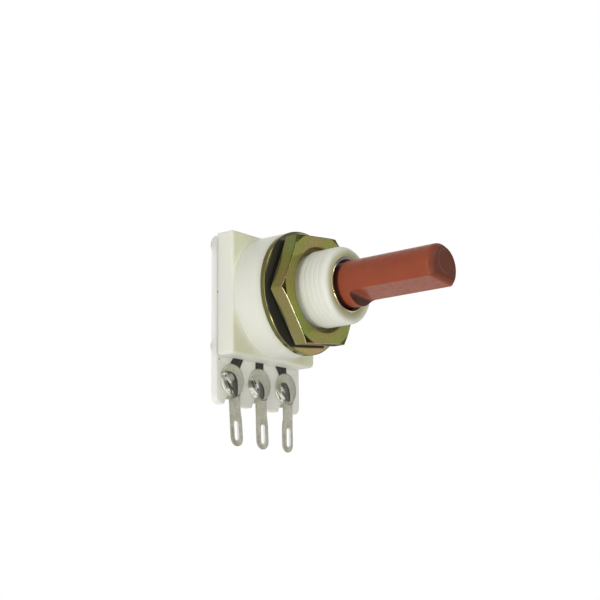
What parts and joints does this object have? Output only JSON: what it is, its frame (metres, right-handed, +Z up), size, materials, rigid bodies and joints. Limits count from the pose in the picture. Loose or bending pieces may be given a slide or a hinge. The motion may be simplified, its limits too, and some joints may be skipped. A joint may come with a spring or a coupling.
{
  "type": "rotary potentiometer",
  "caption": "Panel-mount rotary potentiometer with a brown plastic D shaft, a threaded bush, a hexagon nut and washer, a white body and solder tags.",
  "frame": {"origin": "on the shaft axis, in the front face of the round boss that seats on the panel", "axes": "-Y along the shaft towards the user, +X to the right as seen from the front, +Z up, solder tags hang down along -Z"},
  "size_m": [0.0166, 0.0308, 0.0279],
  "materials": {
    "white_plastic": "satin white moulded plastic, slightly translucent",
    "white_plate": "matte white plate with a fine grain",
    "brown_plastic": "satin reddish brown moulded plastic",
    "black_plastic": "satin black moulded plastic",
    "yellow_plated_steel": "zinc plate with yellow passivation, iridescent pink and green",
    "bronze": "bright spring strip",
    "tinned_brass": "dull tinned strip with fine rolling lines",
    "solder": "smooth bright solder",
    "resistive_ink": "matte printed resistive layer",
    "conductor_ink": "dark printed conductor"
  },
  "bodies": {
    "body": {"housing": "white_plastic", "bush_sleeve": "yellow_plated_steel", "substrate": "white_plate", "resistive_track": "resistive_ink", "collector_ring": "conductor_ink", "left_conductor": "conductor_ink", "centre_conductor": "conductor_ink", "right_conductor": "conductor_ink", "left_terminal": "tinned_brass", "centre_terminal": "tinned_brass", "right_terminal": "tinned_brass", "left_solder": "solder", "centre_solder": "solder", "right_solder": "solder", "hex_nut": "yellow_plated_steel", "washer": "yellow_plated_steel"},
    "spindle": {"shaft": "brown_plastic", "wiper_carrier": "black_plastic", "wiper_spring": "bronze"}
  },
  "joints": [
    {"name": "shaft_turn", "type": "hinge", "parent": "body", "child": "spindle", "pos_m": [0, 0, 0], "axis": [0, 1, 0], "range_deg": [-156.5, 143.5]}
  ]
}
